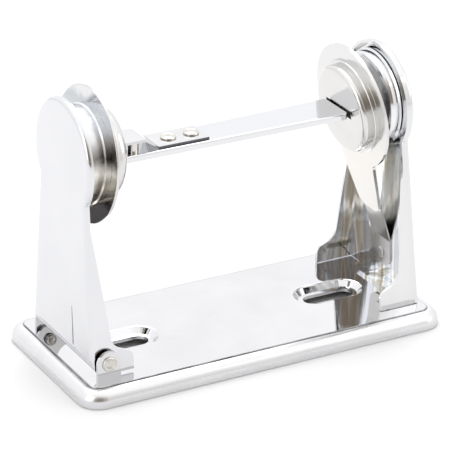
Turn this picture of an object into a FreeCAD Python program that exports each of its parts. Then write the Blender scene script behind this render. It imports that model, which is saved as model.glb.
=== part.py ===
"""Locking single-roll holder in pressed, plated steel: wall plate, one fixed arm, one hinged arm, flat bar.

Millimetres, +Z away from the wall, +X along the plate towards the fixed arm, -Y towards the front.
"""
import FreeCAD
import Part
import math
import os

V = FreeCAD.Vector
X = V(1, 0, 0)
Y = V(0, 1, 0)
Z = V(0, 0, 1)

# wall plate
PLATE_LEN = 152.4
PLATE_DEPTH = 69.85
PANEL_H = 6.5
SHEET = 1.2
RIM_DROP = 0.4
RIM_WIDTH = 4.4
CORNER_R = 8.5
PANEL_CORNER_R = 4.0
ROLL_R = 4.2
PANEL_EDGE_R = 0.25

# mounting slots
SLOT_PITCH = 88.9
SLOT_LEN = 21.0
SLOT_W = 7.0
DISH_MARGIN = 4.0
DISH_DEPTH = 2.2
DISH_SLOPE = 2.2
DISH_EDGE_R = 1.2

# arms
ARM_INSET = 7.0
ARM_FOOT_HALF = 24.4
ARM_TAPER = 0.1
HEAD_RIM = 3.6
HUB_Z = 84.5
BEND_R = 1.6
FOOT_GAP = 1.1
WEB_GAP = 7.5
RIM_DEPTH = 2.3
FLANGE_DEPTH = 8.9
FLANGE_LOW_RISE = 10.0
TOE_DEPTH = 17.0
TOE_RISE = 6.6
TOE_R = 3.0
TOE_ROOT_R = 6.0
SLIT_Y = -8.2
SLIT_W = 1.1
SLIT_RISE = 15.5
SLIT_LEAN = 1.3

# fixed arm, leaning in over the plate on its own foot
RIGHT_ARM_INSET = 5.8
RIGHT_RIM_DEPTH = 3.6
ARM_LEAN = 3.3
FOOT_DEPTH = 6.5
FOOT_HALF = 15.0
TOE_GAP = 0.3

# hinge
PIN_INSET = 6.2
PIN_RISE = 6.1
PIN_R = 2.0
PIN_HEAD_RIM = 0.8
PIN_HEAD_T = 0.9
PIN_TAIL_GAP = 0.6
PIN_TAIL_RIM = 0.3
LUG_RIM = 2.7
LUG_GAP = 0.4
SWING_CLEAR = 0.8
RUN_CLEAR = 0.05

# left hub, tipped a little towards the bar at its top
HUB_TIP = 3.6
DISC_R = 25.2
DISC_STAND = 9.5
DRUM_R = 18.2
DRUM_FLARE = 0.5
CUP_R = 17.0
CUP_LEN = 8.2
COLLAR_RIM = 1.4
COLLAR_T = 1.1
COLLAR_EDGE_R = 0.5
CUP_EDGE_R = 3.4
WINDOW_CLEAR = 0.4

# bar and its bracket
BAR_FRONT = -7.7
BAR_BACK_LEFT = 5.2
BAR_BACK_RIGHT = 9.2
BAR_DROP = 1.4
BAR_H = 2.5
BAR_END_CLEAR = 1.0
BAR_TIP_GAP = 0.4
BAR_TIP_R = 2.0
BRACKET_FRONT = -6.3
BRACKET_BACK = 5.6
BRACKET_T = 1.0
BRACKET_LEN = 45.9
RAMP_START = 25.3
RAMP_RUN = 5.6
RAMP_BEND_R = 3.0
LEAF_RISE = 3.8
BRACKET_FOOT_H = 6.0
RIVET_STARTS = (32.1, 41.5)
RIVET_Y = -0.3
RIVET_HEAD_R = 3.0
RIVET_HEAD_H = 0.9
RIVET_EDGE_R = 0.3
RIVET_SHANK_R = 1.5
SPACER_START = 16.1
SPACER_Y = -3.6
SPACER_R = 2.0

# fixed arm's drum
RIGHT_DRUM_LEN = 7.2
RIGHT_DRUM_EDGE_R = 1.5
BEAD_START = 3.5
BEAD_RISE = 0.7

# release lever: disc, press tongue and slotted cup, carried by the leaf
LEVER_R = 24.4
LEVER_STAND = 18.9
LEVER_DROP = 2.3
LEVER_TILT = 9.0
TONGUE_START = 23.0
TONGUE_BEND = 9.0
TONGUE_LEN = 22.5
TONGUE_ROOT_HALF = 11.3
TONGUE_TIP_HALF = 6.6
TONGUE_R = 5.0
NECK_R = 1.0
RIGHT_CUP_LEN = 5.0
RIGHT_CUP_EDGE_R = 1.8
MOUTH_CLEAR = 0.25
MOUTH_DEPTH = 3.0

# leaf spring
LEAF_T = 0.6
LEAF_HALF = 6.4
LEAF_LAP = 1.0
LEAF_FOOT_RISE = 7.2
LEAF_FOOT_R = 4.2
LEAF_RIVET_RISE = 12.0
LEAF_RIVET_R = 2.2
LEAF_RIVET_H = 0.5

ARM_X = PLATE_LEN / 2 - ARM_INSET
RIGHT_ARM_X = PLATE_LEN / 2 - RIGHT_ARM_INSET
HEAD_R = DRUM_R + HEAD_RIM
PIN_X = PIN_INSET - ARM_X
LUG_R = PIN_R + LUG_RIM
SWING_R = LUG_R + SWING_CLEAR
PIN_Z = PANEL_H + PIN_RISE
FOOT_Z = PANEL_H + FOOT_GAP
WEB_Z = PANEL_H + WEB_GAP
LUG_INNER = ARM_FOOT_HALF + LUG_GAP
LUG_OUTER = LUG_INNER + SHEET
DISC_X = DISC_STAND - ARM_X
DISC_INNER = DISC_X + SHEET
COLLAR_R = CUP_R + COLLAR_RIM
CUP_FACE = DISC_INNER + CUP_LEN
LEVER_X = RIGHT_ARM_X - LEVER_STAND
LEVER_Z = HUB_Z - LEVER_DROP
BAR_TOP = HUB_Z - BAR_DROP
BAR_LEFT = DISC_INNER + BAR_END_CLEAR
BAR_RIGHT = (LEVER_X - RIGHT_CUP_LEN / math.cos(math.radians(LEVER_TILT))
             - (BAR_TOP - LEVER_Z) * math.tan(math.radians(LEVER_TILT)) - BAR_TIP_GAP)
LEFT_WEB_INNER = SHEET - ARM_X
RIGHT_WEB_INNER = RIGHT_ARM_X - SHEET
BAR_BOTTOM = BAR_TOP - BAR_H
BRACKET_END_X = DISC_INNER + BRACKET_LEN
RAMP_START_X = DISC_INNER + RAMP_START
RIVET_XS = tuple(DISC_INNER + start for start in RIVET_STARTS)
SPACER_X = DISC_INNER + SPACER_START
LEAF_TOP = BAR_TOP + BRACKET_T + LEAF_RISE


def polygon(points):
    return Part.Face(Part.makePolygon([V(*p) for p in points] + [V(*points[0])]))


def box(low, high):
    return Part.makeBox(high[0] - low[0], high[1] - low[1], high[2] - low[2], V(*low))


def fillet_where(shape, radius, test):
    return shape.makeFillet(radius, [e for e in shape.Edges if test(e)])


def runs_along(axis):
    def test(edge):
        ends = [v.Point for v in edge.Vertexes]
        return len(ends) == 2 and (ends[1] - ends[0]).cross(axis).Length < 1e-6
    return test


def tray(length, depth, low, high, corner, edge_r):
    block = box((-length / 2, -depth / 2, low), (length / 2, depth / 2, high))
    block = fillet_where(block, corner, runs_along(Z))
    if edge_r:
        block = fillet_where(block, edge_r, lambda e: min(v.Z for v in e.Vertexes) > high - 1e-6)
    return block


def slot_prism(length, width, low, high, grow):
    """A round-ended slot block that widens by grow from its low face to its high face."""
    wires = []
    for z, extra in ((low, 0.0), (high, grow)):
        radius = width / 2 + extra
        reach = (length - width) / 2
        straight_a = Part.makeLine(V(-reach, -radius, z), V(reach, -radius, z))
        arc_a = Part.Arc(V(reach, -radius, z), V(reach + radius, 0, z), V(reach, radius, z)).toShape()
        straight_b = Part.makeLine(V(reach, radius, z), V(-reach, radius, z))
        arc_b = Part.Arc(V(-reach, radius, z), V(-reach - radius, 0, z), V(-reach, -radius, z)).toShape()
        wires.append(Part.Wire([straight_a, arc_a, straight_b, arc_b]))
    return Part.makeLoft(wires, True)


def hinge_lug(side):
    inner = side * LUG_INNER
    plate = Part.makeCylinder(LUG_R, SHEET, V(PIN_X, inner, PIN_Z), V(0, side, 0))
    stem = box((PIN_X - LUG_R, min(inner, side * LUG_OUTER), PANEL_H - SHEET),
               (PIN_X + LUG_R, max(inner, side * LUG_OUTER), PIN_Z))
    bore = Part.makeCylinder(PIN_R, 2 * SHEET, V(PIN_X, inner - side * SHEET / 2, PIN_Z), V(0, side, 0))
    return plate.fuse(stem).cut(bore)


def base_plate():
    """Tray with a rolled rim a little below its panel, two dished slots and a hinge lug each side."""
    rim_h = PANEL_H - RIM_DROP
    lower = tray(PLATE_LEN, PLATE_DEPTH, 0, rim_h, CORNER_R, ROLL_R)
    upper = tray(PLATE_LEN - 2 * RIM_WIDTH, PLATE_DEPTH - 2 * RIM_WIDTH, SHEET, PANEL_H,
                 PANEL_CORNER_R, PANEL_EDGE_R)
    hollow_low = tray(PLATE_LEN - 2 * SHEET, PLATE_DEPTH - 2 * SHEET, -SHEET, rim_h - SHEET,
                      CORNER_R - SHEET, ROLL_R - SHEET)
    inset = RIM_WIDTH + SHEET
    hollow_high = tray(PLATE_LEN - 2 * inset, PLATE_DEPTH - 2 * inset, -SHEET, PANEL_H - SHEET,
                       PANEL_CORNER_R - SHEET, 0)
    plate = lower.fuse(upper).cut(hollow_low.fuse(hollow_high))
    dish_len = SLOT_LEN + 2 * DISH_MARGIN - 2 * DISH_SLOPE
    dish_w = SLOT_W + 2 * DISH_MARGIN - 2 * DISH_SLOPE
    floor = PANEL_H - DISH_DEPTH
    for side in (-1, 1):
        at = V(side * SLOT_PITCH / 2, 0, 0)
        skin = slot_prism(dish_len + 2 * SHEET, dish_w + 2 * SHEET, floor - SHEET, PANEL_H - SHEET / 2,
                          DISH_SLOPE)
        scoop = slot_prism(dish_len, dish_w, floor, PANEL_H, DISH_SLOPE)
        hole = slot_prism(SLOT_LEN, SLOT_W, 0, PANEL_H, 0.0)
        for piece in (skin, scoop, hole):
            piece.translate(at)
        plate = plate.fuse(skin).cut(scoop).cut(hole)
    dish_half = dish_w / 2 + DISH_SLOPE + SHEET
    plate = fillet_where(plate, DISH_EDGE_R, lambda e: all(abs(v.Z - PANEL_H) < 1e-6 for v in e.Vertexes)
                         and all(abs(v.Y) < dish_half for v in e.Vertexes))
    for side in (-1, 1):
        plate = plate.fuse(hinge_lug(side))
    return plate.removeSplitter()


def arm_half_width(z):
    return ARM_FOOT_HALF - ARM_TAPER * (z - FOOT_Z)


def arm_blank(inset, foot):
    """Arm outline in the YZ plane, a tapered leg under a round head, drawn in by inset."""
    low = foot - inset
    top_half = arm_half_width(HUB_Z) - inset
    low_half = arm_half_width(low) - inset
    leg = polygon([(0, -low_half, low), (0, low_half, low), (0, top_half, HUB_Z), (0, -top_half, HUB_Z)])
    leg = leg.extrude(V(TOE_DEPTH, 0, 0))
    head = Part.makeCylinder(HEAD_R - inset, TOE_DEPTH, V(0, 0, HUB_Z), X)
    return leg.fuse(head).removeSplitter()


def arm_shell(foot, rim):
    """Pan-shaped arm with its outer face at x = 0 and its flanges running towards +X."""
    outer = arm_blank(0.0, foot)
    outer = fillet_where(outer, BEND_R, lambda e: max(abs(v.X) for v in e.Vertexes) < 1e-6
                         and max(v.Z for v in e.Vertexes) > foot + 1e-6)
    inner = arm_blank(SHEET, foot)
    inner.translate(V(SHEET, 0, 0))
    shell = outer.cut(inner)
    crown = HUB_Z + HEAD_R
    keep = polygon([(0, -HEAD_R, foot), (TOE_DEPTH, -HEAD_R, foot),
                    (TOE_DEPTH, -HEAD_R, FOOT_Z + TOE_RISE),
                    (FLANGE_DEPTH, -HEAD_R, FOOT_Z + FLANGE_LOW_RISE),
                    (rim, -HEAD_R, HUB_Z - HEAD_R), (rim, -HEAD_R, crown), (0, -HEAD_R, crown)])
    reach = ARM_FOOT_HALF + HEAD_R
    keep = keep.extrude(V(0, reach + HEAD_R, 0))
    keep.translate(V(0, -HEAD_R, 0))
    toe_top = FOOT_Z + TOE_RISE
    keep = fillet_where(keep, TOE_R, lambda e: runs_along(Y)(e)
                        and abs(e.Vertexes[0].X - TOE_DEPTH) < 1e-6 and abs(e.Vertexes[0].Z - toe_top) < 1e-6)
    keep = fillet_where(keep, TOE_ROOT_R, lambda e: runs_along(Y)(e)
                        and abs(e.Vertexes[0].X - FLANGE_DEPTH) < 1e-6)
    return shell.common(keep)


def left_arm():
    arm = arm_shell(FOOT_Z, RIM_DEPTH)
    arm.translate(V(-ARM_X, 0, 0))
    reach = ARM_FOOT_HALF + SHEET
    corner = box((-ARM_X - SHEET, -reach, 0), (PIN_X, reach, WEB_Z))
    swing = Part.makeCylinder(SWING_R, 2 * reach, V(PIN_X, -reach, PIN_Z), Y)
    bore = Part.makeCylinder(PIN_R + RUN_CLEAR, 2 * reach, V(PIN_X, -reach, PIN_Z), Y)
    arm = arm.cut(corner.cut(swing)).cut(bore)
    low = WEB_Z - SHEET
    slit = polygon([(-ARM_X - SHEET, SLIT_Y - SLIT_LEAN - SLIT_W / 2, low),
                    (-ARM_X - SHEET, SLIT_Y - SLIT_LEAN + SLIT_W / 2, low),
                    (-ARM_X - SHEET, SLIT_Y + SLIT_W / 8, WEB_Z + SLIT_RISE),
                    (-ARM_X - SHEET, SLIT_Y - SLIT_W / 8, WEB_Z + SLIT_RISE)]).extrude(V(3 * SHEET, 0, 0))
    return arm.cut(slit)


def leaned(shape):
    """Stands a piece of the fixed arm over by the arm's lean."""
    shape.rotate(V(RIGHT_ARM_X, 0, PANEL_H), Y, -ARM_LEAN)
    return shape


def right_arm():
    arm = arm_shell(FOOT_Z - SHEET, RIGHT_RIM_DEPTH).mirror(V(0, 0, 0), X)
    arm.translate(V(RIGHT_ARM_X, 0, 0))
    reach = ARM_FOOT_HALF + SHEET
    below = box((0, -reach, 0), (PLATE_LEN / 2, reach, PANEL_H + TOE_GAP))
    heel = box((RIGHT_WEB_INNER, -FOOT_HALF, PANEL_H), (RIGHT_ARM_X, FOOT_HALF, FOOT_Z + SHEET))
    foot = box((RIGHT_ARM_X - FOOT_DEPTH, -FOOT_HALF, PANEL_H), (RIGHT_ARM_X, FOOT_HALF, PANEL_H + SHEET))
    return leaned(arm).cut(below).fuse(heel).fuse(foot).removeSplitter()


def hinge_pins():
    """A short rivet each side, through the plate's lug and the arm's flange."""
    inner = arm_half_width(PIN_Z) - SHEET - PIN_TAIL_GAP
    pins = []
    for side in (-1, 1):
        pin = Part.makeCylinder(PIN_R, LUG_OUTER - inner, V(PIN_X, side * inner, PIN_Z), V(0, side, 0))
        for start, way, rim in ((side * LUG_OUTER, side, PIN_HEAD_RIM), (side * inner, -side, PIN_TAIL_RIM)):
            head = Part.makeCylinder(PIN_R + rim, PIN_HEAD_T, V(PIN_X, start, PIN_Z), V(0, way, 0))
            tip = start + way * PIN_HEAD_T
            pin = pin.fuse(fillet_where(head, PIN_HEAD_T / 2, lambda e, tip=tip:
                                        all(abs(v.Y - tip) < 1e-6 for v in e.Vertexes)))
        pins.append(pin.removeSplitter())
    return Part.makeCompound(pins)


def spun(profile):
    """Turns an outline of (x, radius) points about the hub axis."""
    face = polygon([(x, 0, HUB_Z + r) for x, r in profile])
    return face.revolve(V(0, 0, HUB_Z), X, 360)


def tipped(shape):
    """Tips a piece of the left hub, drawn about the hub axis, over from the arm's web."""
    shape.rotate(V(LEFT_WEB_INNER, 0, HUB_Z), Y, HUB_TIP)
    return shape


def disc_face_x(z):
    """Where the tipped disc's inner face stands at a height."""
    tip = math.radians(HUB_TIP)
    return LEFT_WEB_INNER + (DISC_INNER - LEFT_WEB_INNER) / math.cos(tip) + (z - HUB_Z) * math.tan(tip)


def left_disc():
    plate = Part.makeCylinder(DISC_R, SHEET, V(DISC_X, 0, HUB_Z), X)
    return tipped(fillet_where(plate, SHEET / 3, lambda e: e.Length > DISC_R))


def left_drum():
    """Tipped sleeve with a rolled lip at the disc, standing on a flat flange on the arm's web."""
    inner = DRUM_R - SHEET
    start = LEFT_WEB_INNER
    lip = DISC_X - 2 * DRUM_FLARE
    sleeve = tipped(spun([(start - 2 * SHEET, inner), (start - 2 * SHEET, DRUM_R), (lip - DRUM_FLARE, DRUM_R),
                          (lip, DRUM_R + DRUM_FLARE), (DISC_X, DRUM_R + DRUM_FLARE), (DISC_X, inner)]))
    behind = box((start - HEAD_R, -HEAD_R, HUB_Z - HEAD_R), (start, HEAD_R, HUB_Z + HEAD_R))
    flange_r = HEAD_R - 2 * SHEET
    middle = DRUM_R - SHEET / 2
    flange = spun([(start, middle), (start, flange_r), (start + SHEET, flange_r), (start + SHEET, middle)])
    return sleeve.cut(behind).fuse(flange).removeSplitter()


def core_cup(open_x, way, length, edge_r):
    """Round cup for the roll's core: open, collared end at open_x, closed face a length along way."""
    outer = Part.makeCylinder(CUP_R, length, V(open_x, 0, HUB_Z), V(way, 0, 0))
    collar = Part.makeCylinder(COLLAR_R, COLLAR_T, V(open_x, 0, HUB_Z), V(way, 0, 0))
    inner = Part.makeCylinder(CUP_R - SHEET, length - SHEET, V(open_x, 0, HUB_Z), V(way, 0, 0))

    def on_face(x):
        return lambda e: all(abs(v.X - x) < 1e-6 for v in e.Vertexes) and e.Length > CUP_R
    outer = fillet_where(outer, edge_r, on_face(open_x + way * length))
    collar = fillet_where(collar, COLLAR_EDGE_R, on_face(open_x + way * COLLAR_T))
    inner = fillet_where(inner, edge_r - SHEET, on_face(open_x + way * (length - SHEET)))
    return outer.fuse(collar).cut(inner)


def left_core_cup():
    window = box((CUP_FACE - 2 * SHEET, BAR_FRONT - WINDOW_CLEAR, BAR_BOTTOM - WINDOW_CLEAR),
                 (CUP_FACE + SHEET, BRACKET_BACK + WINDOW_CLEAR, LEAF_TOP + WINDOW_CLEAR))
    return tipped(core_cup(DISC_INNER, 1, CUP_LEN, CUP_EDGE_R)).cut(window)


def spindle_bar():
    """Shallow channel, open towards the wall, a little wider at its latched end."""
    def outline(inset, low, high):
        face = polygon([(BAR_LEFT, BAR_FRONT + inset, low), (BAR_RIGHT, BAR_FRONT + inset, low),
                        (BAR_RIGHT, BAR_BACK_RIGHT - inset, low), (BAR_LEFT, BAR_BACK_LEFT - inset, low)])
        return face.extrude(V(0, 0, high - low))
    blank = outline(0.0, BAR_BOTTOM, BAR_TOP)
    blank = fillet_where(blank, BAR_TIP_R, lambda e: runs_along(Z)(e)
                         and abs(e.Vertexes[0].X - BAR_RIGHT) < 1e-6)
    blank = fillet_where(blank, SHEET * 0.6, lambda e: all(abs(v.Z - BAR_TOP) < 1e-6 for v in e.Vertexes)
                         and e.Length > SLOT_PITCH)
    bar = blank.cut(outline(SHEET, BAR_BOTTOM - SHEET, BAR_TOP - SHEET))
    for x in RIVET_XS:
        bar = bar.cut(Part.makeCylinder(RIVET_SHANK_R, BAR_H * 2, V(x, RIVET_Y, BAR_BOTTOM - SHEET), Z))
    return bar


def bar_bracket():
    """Strip riveted on the bar, stepped up beside the hub and turned up against the disc."""
    top = BAR_TOP + BRACKET_T
    ramp_end = RAMP_START_X - RAMP_RUN
    under = LEAF_TOP - BRACKET_T
    tip = LEAF_TOP + BRACKET_FOOT_H
    side = polygon([(BRACKET_END_X, 0, BAR_TOP), (BRACKET_END_X, 0, top), (RAMP_START_X, 0, top),
                    (ramp_end, 0, LEAF_TOP), (disc_face_x(LEAF_TOP) + BRACKET_T, 0, LEAF_TOP),
                    (disc_face_x(tip) + BRACKET_T, 0, tip), (disc_face_x(tip), 0, tip),
                    (disc_face_x(under), 0, under), (ramp_end + BRACKET_T / 3, 0, under),
                    (RAMP_START_X + BRACKET_T / 3, 0, BAR_TOP)])
    strip = side.extrude(V(0, BRACKET_BACK - BRACKET_FRONT, 0))
    strip = fillet_where(strip, RAMP_BEND_R, lambda e: runs_along(Y)(e) and e.Vertexes[0].Z > under - 1e-6
                         and abs(e.Vertexes[0].X - ramp_end) < BRACKET_T)
    strip.translate(V(0, BRACKET_FRONT, 0))
    for x in RIVET_XS:
        foot = V(x, RIVET_Y, BAR_TOP - BRACKET_T / 2)
        strip = strip.cut(Part.makeCylinder(RIVET_SHANK_R, 2 * BRACKET_T, foot, Z))
    return strip


def bar_rivets():
    """Two flat-headed rivets through bracket and bar, as separate solids."""
    rivets = []
    under = BAR_TOP - SHEET
    for x in RIVET_XS:
        head = Part.makeCylinder(RIVET_HEAD_R, RIVET_HEAD_H, V(x, RIVET_Y, BAR_TOP + BRACKET_T), Z)
        crown = BAR_TOP + BRACKET_T + RIVET_HEAD_H
        head = fillet_where(head, RIVET_EDGE_R, lambda e, z=crown:
                            all(abs(v.Z - z) < 1e-6 for v in e.Vertexes))
        shank = Part.makeCylinder(RIVET_SHANK_R, SHEET + BRACKET_T, V(x, RIVET_Y, under), Z)
        tail = Part.makeCylinder(RIVET_SHANK_R * 1.6, SHEET / 2, V(x, RIVET_Y, under - SHEET / 2), Z)
        rivets.append(head.fuse(shank).fuse(tail).removeSplitter())
    return Part.makeCompound(rivets)


def bar_spacer():
    return Part.makeCylinder(SPACER_R, LEAF_RISE, V(SPACER_X, SPACER_Y, BAR_TOP), Z)


def right_drum():
    """Pan with a closed face and a rolled bead, open end on the fixed arm's web."""
    face = RIGHT_WEB_INNER - RIGHT_DRUM_LEN
    flange = RIGHT_WEB_INNER - SHEET
    flange_r = HEAD_R - 2 * SHEET
    bead = face + BEAD_START
    bead_r = DRUM_R + BEAD_RISE
    soft = RIGHT_DRUM_EDGE_R
    inner = DRUM_R - SHEET
    drum = spun([(face, 0), (face, DRUM_R - soft), (face + soft / 3, DRUM_R - soft / 3),
                 (face + soft, DRUM_R), (bead, DRUM_R), (bead + BEAD_RISE, bead_r),
                 (bead + 2 * BEAD_RISE, bead_r), (bead + 3 * BEAD_RISE, DRUM_R), (flange, DRUM_R),
                 (flange, flange_r), (RIGHT_WEB_INNER, flange_r), (RIGHT_WEB_INNER, inner),
                 (face + SHEET, inner), (face + SHEET, 0)])
    return leaned(drum)


def tilted(shape):
    """Moves a piece drawn about the hub axis, front face at LEVER_X, to the lever's tilt and height."""
    shape.translate(V(0, 0, LEVER_Z - HUB_Z))
    shape.rotate(V(LEVER_X, 0, LEVER_Z), Y, -LEVER_TILT)
    return shape


def lever_plate():
    """Disc with a press tongue bent back below it."""
    bend_z = HUB_Z - TONGUE_START
    neck = box((LEVER_X, -TONGUE_ROOT_HALF, bend_z), (LEVER_X + SHEET, TONGUE_ROOT_HALF, HUB_Z))
    plate = Part.makeCylinder(LEVER_R, SHEET, V(LEVER_X, 0, HUB_Z), X).fuse(neck).removeSplitter()
    plate = fillet_where(plate, NECK_R, lambda e: runs_along(X)(e)
                         and e.Vertexes[0].Z > bend_z + SHEET / 2)
    tip_z = bend_z - TONGUE_LEN
    tongue = polygon([(LEVER_X, -TONGUE_ROOT_HALF, bend_z), (LEVER_X, TONGUE_ROOT_HALF, bend_z),
                      (LEVER_X, TONGUE_TIP_HALF, tip_z), (LEVER_X, -TONGUE_TIP_HALF, tip_z)])
    tongue = tongue.extrude(V(SHEET, 0, 0))
    tongue = fillet_where(tongue, TONGUE_R, lambda e: runs_along(X)(e) and e.Vertexes[0].Z < tip_z + SHEET)
    tongue.rotate(V(LEVER_X, 0, bend_z), Y, -TONGUE_BEND)
    wedge = polygon([(LEVER_X, 0, bend_z), (LEVER_X + SHEET, 0, bend_z),
                     (LEVER_X + SHEET * math.cos(math.radians(TONGUE_BEND)), 0,
                      bend_z + SHEET * math.sin(math.radians(TONGUE_BEND)))])
    wedge = wedge.extrude(V(0, 2 * TONGUE_ROOT_HALF, 0))
    wedge.translate(V(0, -TONGUE_ROOT_HALF, 0))
    return tilted(plate.fuse(tongue).fuse(wedge).removeSplitter())


def right_core_cup():
    cup = tilted(core_cup(LEVER_X, -1, RIGHT_CUP_LEN, RIGHT_CUP_EDGE_R))
    mouth = box((BAR_RIGHT, BAR_FRONT - MOUTH_CLEAR, BAR_BOTTOM - MOUTH_CLEAR),
                (BAR_RIGHT + MOUTH_DEPTH, BAR_BACK_RIGHT + MOUTH_CLEAR, BAR_TOP + MOUTH_CLEAR))
    return cup.cut(mouth)


def on_tongue(down, behind):
    """Point down the bent tongue from its bend and behind its front face."""
    tilt = math.radians(LEVER_TILT)
    slope = math.radians(LEVER_TILT + TONGUE_BEND)
    bend = V(LEVER_X + TONGUE_START * math.sin(tilt), 0, LEVER_Z - TONGUE_START * math.cos(tilt))
    along = V(math.sin(slope), 0, -math.cos(slope))
    across = V(math.cos(slope), 0, math.sin(slope))
    return bend + along * down + across * behind


def on_web(rise, inside):
    """Point up the leaning arm from the panel and inside its outer face."""
    lean = math.radians(ARM_LEAN)
    foot = V(RIGHT_ARM_X, 0, PANEL_H)
    return foot + V(-math.sin(lean), 0, math.cos(lean)) * rise - V(math.cos(lean), 0, math.sin(lean)) * inside


def crossing(first, second):
    """Where two lines in the XZ plane meet, each given by two points."""
    a, b = first
    c, d = second
    run, other = b - a, d - c
    reach = ((c.x - a.x) * other.z - (c.z - a.z) * other.x) / (run.x * other.z - run.z * other.x)
    return a + run * reach


def leaf_bend(layer):
    """Where a face of the leaf turns from the web to the tongue; layer is its distance from the web."""
    behind = SHEET + LEAF_T - layer
    return crossing((on_tongue(0, behind), on_tongue(TONGUE_LEN, behind)),
                    (on_web(0, SHEET + layer), on_web(TONGUE_LEN, SHEET + layer)))


def return_leaf():
    """Leaf riveted low on the fixed arm and leaning in to carry the lever by its tongue."""
    points = [on_web(LEAF_FOOT_RISE, SHEET), leaf_bend(0.0), on_tongue(LEAF_LAP, SHEET + LEAF_T),
              on_tongue(LEAF_LAP, SHEET), leaf_bend(LEAF_T), on_web(LEAF_FOOT_RISE, SHEET + LEAF_T)]
    side = polygon([(p.x, 0, p.z) for p in points])
    leaf = side.extrude(V(0, 2 * LEAF_HALF, 0))
    leaf.translate(V(0, -LEAF_HALF, 0))
    level = on_web(LEAF_FOOT_RISE, SHEET).z + SHEET / 2
    leaf = fillet_where(leaf, LEAF_FOOT_R, lambda e: e.Length < 2 * LEAF_T
                        and max(v.Z for v in e.Vertexes) < level)
    return leaf.cut(leaf_rivet_shank(2 * LEAF_T))


def leaf_rivet_shank(length):
    lean = math.radians(ARM_LEAN)
    way = V(-math.cos(lean), 0, -math.sin(lean))
    return Part.makeCylinder(LEAF_RIVET_R / 2, length, on_web(LEAF_RIVET_RISE, SHEET), way)


def leaf_rivet():
    lean = math.radians(ARM_LEAN)
    way = V(-math.cos(lean), 0, -math.sin(lean))
    head = Part.makeCylinder(LEAF_RIVET_R, LEAF_RIVET_H, on_web(LEAF_RIVET_RISE, SHEET + LEAF_T), way)
    outer = on_web(LEAF_RIVET_RISE, SHEET + LEAF_T + LEAF_RIVET_H)
    head = fillet_where(head, LEAF_RIVET_H / 2, lambda e: e.Length > LEAF_RIVET_R
                        and all(abs((v.Point - outer).dot(way)) < 1e-6 for v in e.Vertexes))
    return head.fuse(leaf_rivet_shank(LEAF_T)).removeSplitter()


PARTS = {
    "base_plate": base_plate,
    "left_arm": left_arm,
    "right_arm": right_arm,
    "hinge_pins": hinge_pins,
    "left_drum": left_drum,
    "left_disc": left_disc,
    "left_core_cup": left_core_cup,
    "spindle_bar": spindle_bar,
    "bar_bracket": bar_bracket,
    "bar_rivets": bar_rivets,
    "bar_spacer": bar_spacer,
    "right_drum": right_drum,
    "lever_plate": lever_plate,
    "right_core_cup": right_core_cup,
    "return_leaf": return_leaf,
    "leaf_rivet": leaf_rivet,
}

os.makedirs("parts", exist_ok=True)
for node, make in PARTS.items():
    make().exportStep("parts/" + node + ".step")
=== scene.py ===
"""Studio scene for the plated wall-mounted roll holder: chrome finishes, turned rivets, finely cut leaf,
light and camera."""
import math

import bmesh
import bpy
from mathutils import Matrix, Vector


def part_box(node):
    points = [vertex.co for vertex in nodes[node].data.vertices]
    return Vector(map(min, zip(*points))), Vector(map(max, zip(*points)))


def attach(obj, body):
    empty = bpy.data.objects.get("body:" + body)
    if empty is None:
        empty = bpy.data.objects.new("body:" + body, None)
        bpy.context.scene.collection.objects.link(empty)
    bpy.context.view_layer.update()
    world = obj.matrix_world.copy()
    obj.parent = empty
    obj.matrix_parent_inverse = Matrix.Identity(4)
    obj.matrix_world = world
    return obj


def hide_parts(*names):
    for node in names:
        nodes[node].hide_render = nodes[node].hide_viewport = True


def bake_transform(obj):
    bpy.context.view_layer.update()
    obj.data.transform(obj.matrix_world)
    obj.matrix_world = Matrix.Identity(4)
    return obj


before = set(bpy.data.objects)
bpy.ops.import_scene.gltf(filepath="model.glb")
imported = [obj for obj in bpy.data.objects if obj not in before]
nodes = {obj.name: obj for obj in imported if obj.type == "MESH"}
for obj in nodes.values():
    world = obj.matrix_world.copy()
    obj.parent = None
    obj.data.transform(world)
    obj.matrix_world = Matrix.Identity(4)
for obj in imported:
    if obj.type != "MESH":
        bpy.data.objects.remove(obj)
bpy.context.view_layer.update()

MM = 0.001
MIDDLE = Vector((0, 0, 0.05))       # what the lamps and the camera look at

PANEL_RIM = 4.4 * MM                # rolled rim of the wall plate, outside its flat panel
PANEL_CORNER = 4.0 * MM
BRACKET_THICK = 1.0 * MM
HINGE_HEAD = 0.9 * MM               # height of both heads of a hinge rivet
HINGE_SHOULDER = 0.8 * MM           # how far the outer head stands out round the shank
HINGE_TAIL = 0.3 * MM               # and the inner head
RIVET_TAIL = 0.6 * MM               # closing head under the bar
LEAF_CUTS = 30
REFLECTION_STREAKS_FROM = 0.72                 # share of the arm's depth in front of which it is smooth, without painted reflection streaks
EVERY_FACE = -2.0                   # below any normal, so that all faces take the painted reflection tones

# plain noise stays near its middle, so its useful stretch is taken as this
NOISE_LOW = 0.3
NOISE_HIGH = 0.7

# places of the sockets that share a name on a mix node
NUMBER_A, NUMBER_B, NUMBER_OUT = 2, 3, 0
COLOR_A, COLOR_B, COLOR_OUT = 6, 7, 2


# shader helpers
def material(name):
    made = bpy.data.materials.new(name)
    made.use_nodes = True
    tree = made.node_tree
    tree.nodes.clear()
    out = tree.nodes.new("ShaderNodeOutputMaterial")
    shader = tree.nodes.new("ShaderNodeBsdfPrincipled")
    tree.links.new(shader.outputs["BSDF"], out.inputs["Surface"])
    return made, tree, shader


def opened(made):
    """Node tree, shader and base colour socket of a finish that is already made."""
    tree = made.node_tree
    shader = next(n for n in tree.nodes if n.type == "BSDF_PRINCIPLED")
    return tree, shader, shader.inputs["Base Color"].links[0].from_socket


def feed(tree, value, place):
    """Sets an input from another socket or from a plain number."""
    if isinstance(value, (int, float)):
        place.default_value = value
    else:
        tree.links.new(value, place)


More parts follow.
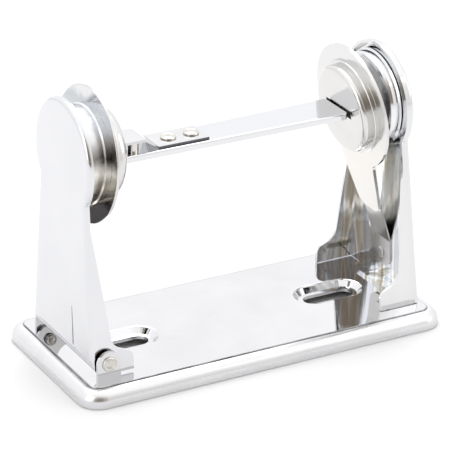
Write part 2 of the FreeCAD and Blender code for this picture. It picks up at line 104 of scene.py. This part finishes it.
def noise(tree, scale, detail, stretch=(1.0, 1.0, 1.0), distortion=0.0):
    """Noise value over object coordinates, stretched along an axis for drawn or rolled metal."""
    place = tree.nodes.new("ShaderNodeTexCoord")
    mapping = tree.nodes.new("ShaderNodeMapping")
    mapping.inputs["Scale"].default_value = stretch
    texture = tree.nodes.new("ShaderNodeTexNoise")
    texture.inputs["Scale"].default_value = scale
    texture.inputs["Detail"].default_value = detail
    texture.inputs["Distortion"].default_value = distortion
    tree.links.new(place.outputs["Object"], mapping.inputs["Vector"])
    tree.links.new(mapping.outputs["Vector"], texture.inputs["Vector"])
    return texture.outputs["Fac"]


def ramp(tree, value, stops):
    """Colour socket that runs through (place, colour) stops as the value goes from 0 to 1."""
    node = tree.nodes.new("ShaderNodeValToRGB")
    elements = node.color_ramp.elements
    while len(elements) < len(stops):
        elements.new(0.5)
    for element, (place, color) in zip(elements, stops):
        element.position = place
        element.color = (*color, 1.0)
    tree.links.new(value, node.inputs["Fac"])
    return node.outputs["Color"]


def remap(tree, value, from_low, from_high, low=0.0, high=1.0):
    """Value carried from one range to another, and held at its ends."""
    node = tree.nodes.new("ShaderNodeMapRange")
    node.inputs["From Min"].default_value = from_low
    node.inputs["From Max"].default_value = from_high
    node.inputs["To Min"].default_value = low
    node.inputs["To Max"].default_value = high
    tree.links.new(value, node.inputs["Value"])
    return node.outputs["Result"]


def spread(tree, value, low, high):
    return remap(tree, value, NOISE_LOW, NOISE_HIGH, low, high)


def bump(tree, shader, value, strength, distance):
    node = tree.nodes.new("ShaderNodeBump")
    node.inputs["Strength"].default_value = strength
    node.inputs["Distance"].default_value = distance
    tree.links.new(value, node.inputs["Height"])
    tree.links.new(node.outputs["Normal"], shader.inputs["Normal"])


def mixed(tree, factor, first, second, blend="MIX"):
    """Colour socket between two colour sockets; factor is a socket or a plain number."""
    node = tree.nodes.new("ShaderNodeMix")
    node.data_type = "RGBA"
    node.blend_type = blend
    feed(tree, factor, node.inputs["Factor"])
    tree.links.new(first, node.inputs[COLOR_A])
    tree.links.new(second, node.inputs[COLOR_B])
    return node.outputs[COLOR_OUT]


def between(tree, factor, first, second):
    """Number socket between two number sockets."""
    node = tree.nodes.new("ShaderNodeMix")
    tree.links.new(factor, node.inputs["Factor"])
    tree.links.new(first, node.inputs[NUMBER_A])
    tree.links.new(second, node.inputs[NUMBER_B])
    return node.outputs[NUMBER_OUT]


def axis_value(tree, socket, axis):
    """One axis of the piece's own coordinates or of its own surface normal."""
    source = tree.nodes.new("ShaderNodeTexCoord")
    split = tree.nodes.new("ShaderNodeSeparateXYZ")
    tree.links.new(source.outputs[socket], split.inputs["Vector"])
    return split.outputs[axis]


def arithmetic(tree, operation, *values):
    """Math node over sockets or plain numbers."""
    node = tree.nodes.new("ShaderNodeMath")
    node.operation = operation
    for place, value in zip(node.inputs, values):
        feed(tree, value, place)
    return node.outputs["Value"]


# finishes
def plated(name, dark, light, rough, wave, stretch=(1.0, 1.0, 1.0), wave_scale=60.0, wave_mm=0.2):
    """Bright plating: faint clouding in tone and in roughness, over slightly wavy sheet."""
    made, tree, shader = material(name)
    shader.inputs["Metallic"].default_value = 1.0
    cloud = noise(tree, scale=45.0, detail=3.0, stretch=stretch, distortion=0.4)
    tone = ramp(tree, cloud, [(NOISE_LOW, dark), (NOISE_HIGH, light)])
    tree.links.new(tone, shader.inputs["Base Color"])
    haze = noise(tree, scale=260.0, detail=4.0, stretch=stretch)
    tree.links.new(spread(tree, haze, *rough), shader.inputs["Roughness"])
    swell = noise(tree, scale=wave_scale, detail=1.5, stretch=stretch)
    bump(tree, shader, swell, strength=wave, distance=wave_mm * MM)
    return made


def painted_light_by_height(made, axis, sign, face_low, low, high, stops):
    """Painted reflection and shade: tones by height, from low to high, on the faces that look along one
    axis.

    They stand for what the neighbours mirror there and for the shade they give. A slow wobble keeps the
    bands from being level.
    """
    sway = 0.16
    fade = 0.2
    tree, shader, plain = opened(made)
    rise = remap(tree, axis_value(tree, "Object", "Z"), low, high)
    wobble = noise(tree, scale=130.0, detail=2.0, stretch=(1.0, 1.0, 0.4), distortion=0.6)
    centred = remap(tree, rise, 0.0, 1.0, -sway / 2, 1.0 - sway / 2)
    shifted = arithmetic(tree, "MULTIPLY_ADD", wobble, sway, centred)
    facing = remap(tree, axis_value(tree, "Normal", axis), sign * face_low, sign * (face_low + fade))
    toned = mixed(tree, facing, plain, ramp(tree, shifted, stops))
    tree.links.new(toned, shader.inputs["Base Color"])
    return made


def past_panel(tree, half_long, half_deep, corner):
    """Distance outside the round-cornered panel, in metres, negative within it."""
    reach = []
    for axis, half in (("X", half_long), ("Y", half_deep)):
        out = arithmetic(tree, "ABSOLUTE", axis_value(tree, "Object", axis))
        out = arithmetic(tree, "MAXIMUM", arithmetic(tree, "SUBTRACT", out, half - corner), 0.0)
        reach.append(arithmetic(tree, "MULTIPLY", out, out))
    away = arithmetic(tree, "SQRT", arithmetic(tree, "ADD", *reach))
    return arithmetic(tree, "SUBTRACT", away, corner)


def soft_rim(made, half_long, half_deep, corner):
    """Duller, faintly drawn metal on the plate's rolled rim, with a painted line of shade along the crease
    round the panel's edge.
    """
    rim_fade = 0.2 * MM
    crease_line_core = 0.15 * MM
    crease_line_edge = 0.45 * MM
    rim_rough = (0.16, 0.36)
    tree, shader, plain = opened(made)
    past = past_panel(tree, half_long, half_deep, corner)
    panel = shader.inputs["Roughness"].links[0].from_socket
    lines = noise(tree, scale=320.0, detail=3.0, stretch=(0.12, 0.12, 1.6))
    drawn = spread(tree, lines, *rim_rough)
    dulled = between(tree, remap(tree, past, 0.0, rim_fade), panel, drawn)
    tree.links.new(dulled, shader.inputs["Roughness"])
    # painted shade: a dark line along the crease round the panel's edge
    crease_line = remap(tree, arithmetic(tree, "ABSOLUTE", past), crease_line_core, crease_line_edge, 1.0, 0.0)
    crease_shade = ramp(tree, noise(tree, scale=90.0, detail=3.0),
                 [(0.35, (0.16, 0.16, 0.165)), (0.65, (0.42, 0.42, 0.43))])
    tree.links.new(mixed(tree, crease_line, plain, crease_shade), shader.inputs["Base Color"])
    return made


def painted_reflection_streaks(made, tones, front, top):
    """Long vertical bands of painted reflection on the inside of the formed sheet; before front and above
    top it stays smooth.
    """
    front_fade = 3 * MM
    top_fade = 4 * MM
    tree, shader, plain = opened(made)
    sheet = noise(tree, scale=150.0, detail=2.0, stretch=(1.0, 1.0, 0.05), distortion=0.5)
    bands = ramp(tree, sheet, tones)
    inner = remap(tree, axis_value(tree, "Object", "Y"), front, front + front_fade)
    leg = remap(tree, axis_value(tree, "Object", "Z"), top - top_fade, top, 1.0, 0.0)
    facing = remap(tree, axis_value(tree, "Normal", "X"), 0.3, 0.7, 1.0, 0.0)
    inward = arithmetic(tree, "MULTIPLY", arithmetic(tree, "MULTIPLY", inner, leg), facing)
    tree.links.new(mixed(tree, inward, plain, bands), shader.inputs["Base Color"])
    ripple = shader.inputs["Normal"].links[0].from_node
    tree.links.new(inward, ripple.inputs["Strength"])
    return made


# wall plate and arms
chrome = plated("chrome_sheet", (0.705, 0.71, 0.73), (0.735, 0.74, 0.76), rough=(0.04, 0.10), wave=0.12)
plate_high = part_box("base_plate")[1]
chrome_base = soft_rim(
    plated("chrome_base", (0.70, 0.70, 0.715), (0.75, 0.75, 0.76), rough=(0.02, 0.06), wave=0.05),
    plate_high.x - PANEL_RIM, plate_high.y - PANEL_RIM, PANEL_CORNER)
# the inside of the right arm takes painted reflection streaks in its colour
chrome_arm = painted_reflection_streaks(
    plated("chrome_arm", (0.67, 0.67, 0.675), (0.745, 0.745, 0.75), rough=(0.07, 0.16), wave=1.0,
           stretch=(1.0, 1.0, 0.06), wave_scale=170.0, wave_mm=0.30),
    tones=[(0.32, (0.42, 0.40, 0.35)), (0.42, (0.74, 0.72, 0.66)), (0.50, (0.97, 0.97, 0.97)),
           (0.56, (0.62, 0.64, 0.67)), (0.66, (0.86, 0.89, 0.93))],
    front=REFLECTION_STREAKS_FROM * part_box("right_arm")[0].y, top=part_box("right_drum")[0].z)

# left hub: painted reflection on the disc, dark at the foot, with the bright and dark bands of the studio
# above
hub_low, hub_high = (corner.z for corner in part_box("left_disc"))
chrome_left_disc = painted_light_by_height(
    plated("chrome_left_disc", (0.66, 0.655, 0.65), (0.72, 0.715, 0.71), rough=(0.10, 0.20), wave=0.12),
    axis="X", sign=-1.0, face_low=0.7, low=hub_low, high=hub_high, stops=[
        (0.0, (0.018, 0.012, 0.011)), (0.24, (0.035, 0.027, 0.025)), (0.36, (0.30, 0.29, 0.27)),
        (0.53, (0.70, 0.69, 0.67)), (0.61, (0.13, 0.12, 0.12)), (0.70, (0.62, 0.63, 0.64)),
        (0.88, (0.50, 0.53, 0.55)), (0.95, (0.72, 0.72, 0.73))])
# painted reflection bands by height on every face of the left drum
chrome_left_drum = painted_light_by_height(
    plated("chrome_left_drum", (0.60, 0.575, 0.53), (0.70, 0.68, 0.64), rough=(0.16, 0.30), wave=0.12,
           stretch=(0.25, 1.0, 1.0)),
    axis="Z", sign=1.0, face_low=EVERY_FACE, low=hub_low, high=hub_high, stops=[
        (0.14, (0.62, 0.58, 0.48)), (0.34, (0.78, 0.74, 0.63)), (0.42, (0.50, 0.47, 0.42)),
        (0.50, (0.80, 0.78, 0.72)), (0.60, (0.26, 0.245, 0.235)), (0.70, (0.60, 0.60, 0.61)),
        (0.82, (0.80, 0.80, 0.82)), (0.92, (0.88, 0.88, 0.90))])
chrome_cup = plated("chrome_disc", (0.66, 0.655, 0.645), (0.73, 0.725, 0.715),
                    rough=(0.10, 0.20), wave=0.12)

# bar and bracket
chrome_bar = plated("chrome_bar", (0.70, 0.705, 0.72), (0.745, 0.75, 0.765),
                    rough=(0.05, 0.12), wave=0.35, stretch=(0.3, 1.0, 1.0))
step_low, step_high = (corner.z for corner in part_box("bar_spacer"))
chrome_bracket = plated("chrome_bracket", (0.70, 0.70, 0.71), (0.75, 0.75, 0.755),
                        rough=(0.05, 0.12), wave=0.12)
# painted shade on the bracket's side faces that look along +X and -Y, darkest towards the bottom
for axis, sign, tones in (
        ("X", 1.0, [(0.15, (0.16, 0.16, 0.165)), (0.55, (0.24, 0.24, 0.25)), (0.70, (0.50, 0.51, 0.53))]),
        ("Y", -1.0, [(0.0, (0.10, 0.10, 0.11)), (0.30, (0.14, 0.14, 0.15)), (0.50, (0.60, 0.60, 0.62))])):
    painted_light_by_height(chrome_bracket, axis, sign, face_low=0.25, low=step_low, high=step_high, stops=tones)

# right hub: drum, and the lever with a painted reflection that is warm below and neutral above
chrome_right_drum = plated("chrome_right_drum", (0.70, 0.71, 0.725), (0.80, 0.81, 0.825),
                           rough=(0.08, 0.16), wave=0.12)
lever_low, lever_high = (corner.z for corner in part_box("lever_plate"))
chrome_lever = painted_light_by_height(
    plated("chrome_lever", (0.66, 0.655, 0.65), (0.72, 0.715, 0.71), rough=(0.10, 0.20), wave=0.12),
    axis="X", sign=-1.0, face_low=0.7, low=lever_low, high=lever_high, stops=[
        (0.0, (0.79, 0.77, 0.735)), (0.40, (0.79, 0.77, 0.735)), (0.55, (0.73, 0.72, 0.70)),
        (0.9, (0.71, 0.71, 0.71))])

# leaf and rivets
spring = plated("spring_steel", (0.55, 0.545, 0.53), (0.64, 0.635, 0.62), rough=(0.12, 0.24), wave=0.10)
rivet = plated("rivet_nickel", (0.62, 0.60, 0.56), (0.72, 0.70, 0.66), rough=(0.12, 0.26), wave=0.30)
# a darker copy of the rivet plating, as painted shade for the back hinge rivet
rivet_in_shade = plated("rivet_in_shade", (0.24, 0.23, 0.22), (0.42, 0.40, 0.37), rough=(0.20, 0.36), wave=0.40)

FINISHES = {
    "base_plate": chrome_base, "left_arm": chrome, "right_arm": chrome_arm,
    "left_disc": chrome_left_disc, "left_drum": chrome_left_drum, "left_core_cup": chrome_cup,
    "spindle_bar": chrome_bar, "bar_bracket": chrome_bracket,
    "right_drum": chrome_right_drum, "lever_plate": chrome_lever, "right_core_cup": chrome_cup,
    "return_leaf": spring, "leaf_rivet": spring,
}
for name, node in nodes.items():
    node.data.materials.clear()
    node.data.materials.append(FINISHES.get(name, rivet))


# turned rivets, with crowned and ringed heads
def placed(name, mesh):
    """Object made from a bmesh, which is freed."""
    data = bpy.data.meshes.new(name)
    mesh.to_mesh(data)
    mesh.free()
    made = bpy.data.objects.new(name, data)
    bpy.context.scene.collection.objects.link(made)
    return made


def ring(along, radius, around):
    """Points round the axis, or the one point on it where the radius is zero."""
    if radius == 0:
        return [Vector((0, 0, along))]
    turns = [math.tau * i / around for i in range(around)]
    return [Vector((radius * math.cos(turn), radius * math.sin(turn), along)) for turn in turns]


def turned(name, outline, foot, axis, finish, around=72):
    """Smooth turned piece from (distance along axis, radius) points, starting at foot."""
    mesh = bmesh.new()
    start = Vector(foot)
    lean = Vector((0, 0, 1)).rotation_difference(Vector(axis)).to_matrix()
    rings = [[mesh.verts.new(start + lean @ point) for point in ring(along, radius, around)]
             for along, radius in outline]
    for lower, upper in zip(rings, rings[1:]):
        for i in range(around):
            corners = [lower[i % len(lower)], lower[(i + 1) % len(lower)],
                       upper[(i + 1) % len(upper)], upper[i % len(upper)]]
            mesh.faces.new(list(dict.fromkeys(corners)))
    bmesh.ops.recalc_face_normals(mesh, faces=mesh.faces[:])
    made = placed(name, mesh)
    for face in made.data.polygons:
        face.use_smooth = True
    made.data.materials.append(finish)
    return made


def crown(radius, height, start):
    """Rivet head from its seat at start: rounded rim, shallow ring groove, slightly raised middle.

    The points are shares of the height and of the radius, with an arc from the shoulder to the brow.
    """
    shoulder = 0.30
    brow_height, brow_radius = 0.92, 0.83
    shares = [(0.0, 0.86), (0.12, 0.97), (shoulder, 1.0)]
    for step in range(1, 7):
        turn = math.radians(15 * step)
        shares.append((shoulder + (brow_height - shoulder) * math.sin(turn),
                       1.0 - (1.0 - brow_radius) * (1.0 - math.cos(turn))))
    shares += [(0.88, 0.74), (0.78, 0.67), (0.76, 0.60), (0.80, 0.54), (0.90, 0.46), (0.96, 0.32),
               (1.0, 0.16), (1.0, 0.0)]
    return [(start + along * height, share * radius) for along, share in shares]


def bar_rivets():
    low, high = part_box("bar_rivets")
    radius = (high.y - low.y) / 2
    shank = 0.5 * radius
    tail = 0.8 * radius
    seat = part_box("bar_bracket")[0].z + BRACKET_THICK
    rounded = [(0.0, 0.0), (0.0, 0.82 * tail), (0.2 * RIVET_TAIL, 0.95 * tail), (0.5 * RIVET_TAIL, tail)]
    body = rounded + [(RIVET_TAIL, tail), (RIVET_TAIL, shank), (seat - low.z, shank)]
    outline = body + crown(radius, high.z - seat, seat - low.z)
    for index, x in enumerate((low.x + radius, high.x - radius)):
        foot = (x, (low.y + high.y) / 2, low.z)
        made = turned("bar_rivet_%d" % index, outline, foot, (0, 0, 1), rivet)
        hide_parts("bar_rivets")
        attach(made, "swing_arm")


def hinge_rivets():
    low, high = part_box("hinge_pins")
    radius = (high.x - low.x) / 2
    inner = min(abs(v.co.y) for v in nodes["hinge_pins"].data.vertices)
    shank = radius - HINGE_SHOULDER
    length = high.y - inner
    neck = length - HINGE_HEAD
    inside = [(HINGE_HEAD - along, r) for along, r in reversed(crown(shank + HINGE_TAIL, HINGE_HEAD, 0.0))]
    outline = inside + [(HINGE_HEAD, shank), (neck, shank)] + crown(radius, HINGE_HEAD, neck)
    # the back rivet takes the darker copy as painted shade
    for label, side, finish in (("front", -1, rivet), ("back", 1, rivet_in_shade)):
        foot = ((low.x + high.x) / 2, side * inner, (low.z + high.z) / 2)
        made = turned("hinge_rivet_" + label, outline, foot, (0, side, 0), finish)
        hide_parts("hinge_pins")
        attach(made, "base")


def flexing_leaf():
    """The leaf spring, cut fine along its length."""
    low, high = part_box("return_leaf")
    mesh = bmesh.new()
    mesh.from_mesh(nodes["return_leaf"].data)
    for step in range(1, LEAF_CUTS):
        level = low.lerp(high, step / LEAF_CUTS)
        bmesh.ops.bisect_plane(mesh, geom=mesh.verts[:] + mesh.edges[:] + mesh.faces[:],
                               plane_co=level, plane_no=(0, 0, 1))
    made = placed("leaf_spring", mesh)
    made.data.materials.clear()
    made.data.materials.append(spring)
    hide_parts("return_leaf")
    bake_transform(made)


bar_rivets()
hinge_rivets()
flexing_leaf()


# floor and studio
def floor():
    """Matt pale table, just under the plate so that no faces meet."""
    made, tree, shader = material("pale_floor")
    tone = ramp(tree, noise(tree, scale=3.0, detail=2.0),
                [(NOISE_LOW, (0.72, 0.72, 0.725)), (NOISE_HIGH, (0.74, 0.74, 0.745))])
    tree.links.new(tone, shader.inputs["Base Color"])
    shader.inputs["Roughness"].default_value = 0.9
    shader.inputs["Specular IOR Level"].default_value = 0.1
    bpy.ops.mesh.primitive_plane_add(size=6.0, location=(0, 0, -0.2 * MM))
    plane = bpy.context.object
    plane.name = "floor"
    plane.data.materials.append(made)


def area_light(name, place, size, power):
    lamp = bpy.data.lights.new(name, "AREA")
    lamp.shape = "RECTANGLE"
    lamp.size, lamp.size_y = size
    lamp.energy = power
    made = bpy.data.objects.new(name, lamp)
    bpy.context.scene.collection.objects.link(made)
    made.location = place
    made.rotation_euler = (MIDDLE - Vector(place)).to_track_quat("-Z", "Y").to_euler()


def studio_world():
    """A light tent: brightest overhead, a little less at the horizon, warm and dark behind the camera."""
    world = bpy.data.worlds.new("tent")
    bpy.context.scene.world = world
    world.use_nodes = True
    tree = world.node_tree
    tree.nodes.clear()
    out = tree.nodes.new("ShaderNodeOutputWorld")
    back = tree.nodes.new("ShaderNodeBackground")
    tree.links.new(back.outputs["Background"], out.inputs["Surface"])
    place = tree.nodes.new("ShaderNodeTexCoord")
    split = tree.nodes.new("ShaderNodeSeparateXYZ")
    tree.links.new(place.outputs["Generated"], split.inputs["Vector"])
    height = ramp(tree, split.outputs["Z"], [
        (0.0, (1.12, 1.12, 1.12)), (0.10, (1.14, 1.14, 1.15)), (0.34, (1.20, 1.20, 1.215)),
        (0.6, (1.24, 1.24, 1.25)), (0.8, (1.35, 1.35, 1.35))])
    aim = tree.nodes.new("ShaderNodeVectorMath")
    aim.operation = "DOT_PRODUCT"
    aim.inputs[1].default_value = Vector((-0.35, -0.9, 0.18)).normalized()
    tree.links.new(place.outputs["Generated"], aim.inputs[0])
    front = ramp(tree, aim.outputs["Value"], [
        (0.40, (1.0, 1.0, 1.0)), (0.66, (0.86, 0.85, 0.83)), (0.84, (0.50, 0.46, 0.41)),
        (0.97, (0.24, 0.21, 0.18))])
    tree.links.new(mixed(tree, 1.0, height, front, "MULTIPLY"), back.inputs["Color"])
    back.inputs["Strength"].default_value = 1.0


floor()
studio_world()
area_light("key_top", place=(0.15, 0.45, 1.05), size=(0.8, 0.8), power=6.5)
area_light("fill_left", place=(-1.0, -0.4, 0.5), size=(0.7, 0.9), power=2.0)
area_light("fill_right", place=(0.9, -0.7, 0.6), size=(0.5, 0.8), power=1.4)


def camera():
    """Long lens at the front left, a little above, matched to the reference framing."""
    azimuth, elevation, roll = math.radians(-29.81), math.radians(24.44), math.radians(1.29)
    distance = 1.01092
    back = Vector((math.sin(azimuth) * math.cos(elevation), -math.cos(azimuth) * math.cos(elevation),
                   math.sin(elevation)))
    right = Vector((math.cos(azimuth), math.sin(azimuth), 0))
    up = back.cross(right)
    across = math.cos(roll) * right + math.sin(roll) * up
    upward = -math.sin(roll) * right + math.cos(roll) * up
    lens = bpy.data.cameras.new("camera")
    lens.sensor_width = 36.0
    lens.lens = 218.13
    lens.shift_x = -0.0098
    lens.shift_y = -0.0343
    lens.clip_end = 20.0
    made = bpy.data.objects.new("camera", lens)
    bpy.context.scene.collection.objects.link(made)
    spin = Matrix((across, upward, back)).transposed()
    made.matrix_world = Matrix.Translation(MIDDLE + back * distance) @ spin.to_4x4()
    bpy.context.scene.camera = made


camera()
bpy.context.scene.view_settings.view_transform = "Standard"
